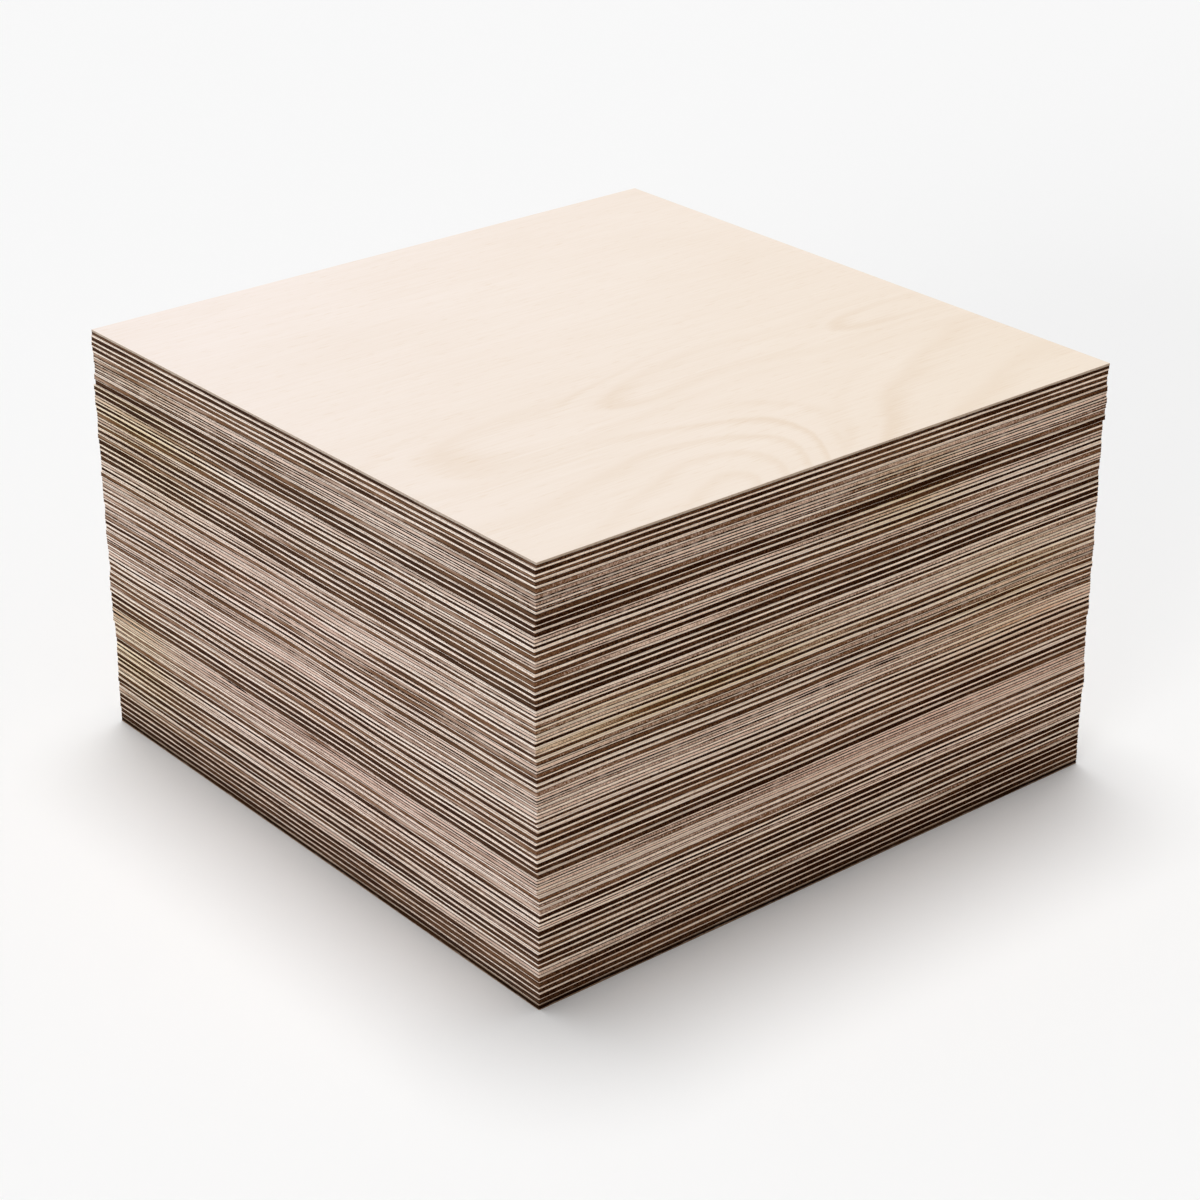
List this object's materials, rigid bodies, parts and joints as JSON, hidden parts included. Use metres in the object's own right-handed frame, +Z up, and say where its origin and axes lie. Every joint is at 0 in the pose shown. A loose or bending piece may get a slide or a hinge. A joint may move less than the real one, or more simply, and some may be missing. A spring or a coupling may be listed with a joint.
{
  "type": "stack of plywood sheets",
  "caption": "Square stack of thin three-ply plywood sheets lying loose and flat on one another, with pale wood faces and striped ply edges.",
  "frame": {"origin": "centre of the bottom sheet's underside, on the floor", "axes": "+X and +Y along the bottom sheet's sides, with the top sheet's grain along Y; +Z up through the stack"},
  "size_m": [0.4017, 0.4015, 0.2489],
  "materials": {
    "plywood": "sanded, bare"
  },
  "bodies": {
    "root": {"sheets_01_to_05": "plywood", "sheets_06_to_10": "plywood", "sheets_11_to_15": "plywood", "sheets_16_to_20": "plywood", "sheets_21_to_25": "plywood", "sheets_26_to_30": "plywood", "sheets_31_to_35": "plywood", "sheets_36_to_40": "plywood", "sheets_41_to_45": "plywood", "sheets_46_to_50": "plywood", "sheets_51_to_55": "plywood", "sheets_56_to_60": "plywood", "sheets_61_to_65": "plywood", "sheets_66_to_70": "plywood", "sheets_71_to_75": "plywood"}
  },
  "joints": []
}
